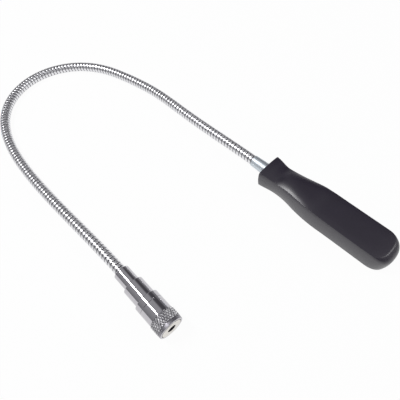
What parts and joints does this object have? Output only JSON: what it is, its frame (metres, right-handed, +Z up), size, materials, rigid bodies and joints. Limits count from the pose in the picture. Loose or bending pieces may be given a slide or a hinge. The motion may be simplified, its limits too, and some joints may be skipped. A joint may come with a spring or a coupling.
{
  "type": "magnetic pickup tool",
  "caption": "Flexible magnetic pickup tool: flat moulded handle, bendable wound-wire gooseneck and a stepped metal head with a knurled twist cap, ring magnet and lamp.",
  "frame": {"origin": "middle of the tool's base as it lies on a table, at the centre of its box in plan", "axes": "+Z up from the table, +X along the longer side of the box towards the handle, +Y away from a viewer who sees the handle on the right and the head nearest"},
  "size_m": [0.289, 0.2436, 0.0173],
  "materials": {
    "black_plastic": "semi-gloss moulded black",
    "zinc_plate": "bright zinc plate, slightly blue",
    "neck_nickel": "bright nickel-plated wound wire",
    "chrome_plate": "polished chrome plate over turned steel",
    "magnet_nickel": "satin nickel plate",
    "lamp_epoxy": "clear moulded epoxy",
    "holder_plastic": "black moulded plastic",
    "contact_brass": "stamped brass",
    "spring_steel": "drawn spring wire",
    "liner_plastic": "thin plastic tube",
    "cell_steel": "nickel-plated cell can"
  },
  "bodies": {
    "grip": {"handle": "black_plastic", "handle_ferrule": "zinc_plate", "neck_link_00": "neck_nickel"},
    "neck_01": {"neck_link_01": "neck_nickel"},
    "neck_02": {"neck_link_02": "neck_nickel"},
    "neck_03": {"neck_link_03": "neck_nickel"},
    "neck_04": {"neck_link_04": "neck_nickel"},
    "neck_05": {"neck_link_05": "neck_nickel"},
    "neck_06": {"neck_link_06": "neck_nickel"},
    "neck_07": {"neck_link_07": "neck_nickel"},
    "neck_08": {"neck_link_08": "neck_nickel"},
    "neck_09": {"neck_link_09": "neck_nickel"},
    "neck_10": {"neck_link_10": "neck_nickel"},
    "neck_11": {"neck_link_11": "neck_nickel"},
    "neck_12": {"neck_link_12": "neck_nickel"},
    "neck_13": {"neck_link_13": "neck_nickel"},
    "neck_14": {"neck_link_14": "neck_nickel"},
    "neck_15": {"neck_link_15": "neck_nickel"},
    "neck_16": {"neck_link_16": "neck_nickel"},
    "neck_17": {"neck_link_17": "neck_nickel"},
    "neck_18": {"neck_link_18": "neck_nickel"},
    "neck_19": {"neck_link_19": "neck_nickel"},
    "neck_20": {"neck_link_20": "neck_nickel"},
    "neck_21": {"neck_link_21": "neck_nickel"},
    "neck_22": {"neck_link_22": "neck_nickel"},
    "neck_23": {"neck_link_23": "neck_nickel"},
    "neck_24": {"neck_link_24": "neck_nickel"},
    "neck_25": {"neck_link_25": "neck_nickel"},
    "neck_26": {"neck_link_26": "neck_nickel"},
    "head": {"neck_link_27": "neck_nickel", "neck_sleeve": "chrome_plate", "battery_barrel": "chrome_plate", "cell_spring": "spring_steel", "cell_liner": "liner_plastic", "button_cell_1": "cell_steel", "button_cell_2": "cell_steel", "button_cell_3": "cell_steel"},
    "cap": {"twist_cap": "chrome_plate", "ring_magnet": "magnet_nickel", "lamp": "lamp_epoxy", "lamp_holder": "holder_plastic", "contact_disc": "contact_brass"}
  },
  "joints": [
    {"name": "neck_lift_01", "type": "hinge", "parent": "grip", "child": "neck_01", "pos_m": [0.05247, 0.01186, 0.00868], "axis": [0.6906, 0.7232, 0], "range_deg": [-21.69, 21.69]},
    {"name": "neck_lift_02", "type": "hinge", "parent": "neck_01", "child": "neck_02", "pos_m": [0.04008, 0.02356, 0.00853], "axis": [-0.6844, -0.7291, 0], "range_deg": [-21.69, 21.69]},
    {"name": "neck_bend_03", "type": "hinge", "parent": "neck_02", "child": "neck_03", "pos_m": [0.02768, 0.03524, 0.00825], "axis": [0, 0, 1], "range_deg": [-20.88, 22.51]},
    {"name": "neck_bend_04", "type": "hinge", "parent": "neck_03", "child": "neck_04", "pos_m": [0.01545, 0.0471, 0.00787], "axis": [0, 0, 1], "range_deg": [-20.01, 23.38]},
    {"name": "neck_lift_05", "type": "hinge", "parent": "neck_04", "child": "neck_05", "pos_m": [0.00356, 0.05931, 0.00742], "axis": [-0.7264, -0.6872, 0], "range_deg": [-21.69, 21.69]},
    {"name": "neck_lift_06", "type": "hinge", "parent": "neck_05", "child": "neck_06", "pos_m": [-0.00819, 0.07164, 0.0069], "axis": [0.7141, 0.7, 0], "range_deg": [-21.69, 21.69]},
    {"name": "neck_bend_07", "type": "hinge", "parent": "neck_06", "child": "neck_07", "pos_m": [-0.02054, 0.08337, 0.00636], "axis": [0, 0, 1], "range_deg": [-27.27, 16.11]},
    {"name": "neck_bend_08", "type": "hinge", "parent": "neck_07", "child": "neck_08", "pos_m": [-0.03392, 0.09391, 0.00581], "axis": [0, 0, 1], "range_deg": [-25.57, 17.81]},
    {"name": "neck_bend_09", "type": "hinge", "parent": "neck_08", "child": "neck_09", "pos_m": [-0.04799, 0.10351, 0.00528], "axis": [0, 0, 1], "range_deg": [-26.21, 17.17]},
    {"name": "neck_bend_10", "type": "hinge", "parent": "neck_09", "child": "neck_10", "pos_m": [-0.06282, 0.11187, 0.0048], "axis": [0, 0, -1], "range_deg": [-10.05, 33.34]},
    {"name": "neck_bend_11", "type": "hinge", "parent": "neck_10", "child": "neck_11", "pos_m": [-0.07899, 0.11709, 0.00438], "axis": [0, 0, -1], "range_deg": [-5.54, 37.84]},
    {"name": "neck_bend_12", "type": "hinge", "parent": "neck_11", "child": "neck_12", "pos_m": [-0.09595, 0.11763, 0.00404], "axis": [0, 0, -1], "range_deg": [-3.66, 39.73]},
    {"name": "neck_bend_13", "type": "hinge", "parent": "neck_12", "child": "neck_13", "pos_m": [-0.11224, 0.11291, 0.00383], "axis": [0, 0, -1], "range_deg": [-2.2, 41.18]},
    {"name": "neck_bend_14", "type": "hinge", "parent": "neck_13", "child": "neck_14", "pos_m": [-0.12602, 0.10304, 0.00375], "axis": [0, 0, -1], "range_deg": [-2.1, 41.28]},
    {"name": "neck_bend_15", "type": "hinge", "parent": "neck_14", "child": "neck_15", "pos_m": [-0.13571, 0.08912, 0.00375], "axis": [0, 0, -1], "range_deg": [-2.69, 40.7]},
    {"name": "neck_bend_16", "type": "hinge", "parent": "neck_15", "child": "neck_16", "pos_m": [-0.14034, 0.0728, 0.00375], "axis": [0, 0, -1], "range_deg": [-4.09, 39.29]},
    {"name": "neck_bend_17", "type": "hinge", "parent": "neck_16", "child": "neck_17", "pos_m": [-0.13983, 0.05583, 0.00375], "axis": [0, 0, 1], "range_deg": [-36.78, 6.6]},
    {"name": "neck_bend_18", "type": "hinge", "parent": "neck_17", "child": "neck_18", "pos_m": [-0.13494, 0.03955, 0.00375], "axis": [0, 0, 1], "range_deg": [-32.42, 10.97]},
    {"name": "neck_bend_19", "type": "hinge", "parent": "neck_18", "child": "neck_19", "pos_m": [-0.1271, 0.02444, 0.00375], "axis": [0, 0, 1], "range_deg": [-28.72, 14.67]},
    {"name": "neck_bend_20", "type": "hinge", "parent": "neck_19", "child": "neck_20", "pos_m": [-0.11744, 0.01041, 0.00386], "axis": [0, 0, 1], "range_deg": [-26.42, 16.96]},
    {"name": "neck_bend_21", "type": "hinge", "parent": "neck_20", "child": "neck_21", "pos_m": [-0.10666, -0.00277, 0.0043], "axis": [0, 0, 1], "range_deg": [-24.34, 19.04]},
    {"name": "neck_bend_22", "type": "hinge", "parent": "neck_21", "child": "neck_22", "pos_m": [-0.09526, -0.01543, 0.005], "axis": [0, 0, 1], "range_deg": [-23.47, 19.92]},
    {"name": "neck_bend_23", "type": "hinge", "parent": "neck_22", "child": "neck_23", "pos_m": [-0.08347, -0.02774, 0.00585], "axis": [0, 0, -1], "range_deg": [-20.56, 22.83]},
    {"name": "neck_bend_24", "type": "hinge", "parent": "neck_23", "child": "neck_24", "pos_m": [-0.07145, -0.0398, 0.00674], "axis": [0, 0, -1], "range_deg": [-21.19, 22.19]},
    {"name": "neck_bend_25", "type": "hinge", "parent": "neck_24", "child": "neck_25", "pos_m": [-0.05932, -0.05176, 0.00756], "axis": [0, 0, -1], "range_deg": [-21.82, 21.56]},
    {"name": "neck_bend_26", "type": "hinge", "parent": "neck_25", "child": "neck_26", "pos_m": [-0.04721, -0.06375, 0.00822], "axis": [0, 0, -1], "range_deg": [-22.45, 20.93]},
    {"name": "neck_bend_27", "type": "hinge", "parent": "neck_26", "child": "head", "pos_m": [-0.03527, -0.0759, 0.0086], "axis": [0, 0, -1], "range_deg": [-23.08, 20.3]},
    {"name": "cap_twist", "type": "hinge", "parent": "head", "child": "cap", "pos_m": [-0.0095, -0.10331, 0.00865], "axis": [0.6839, -0.7296, 0], "range_deg": [0, 90]}
  ]
}
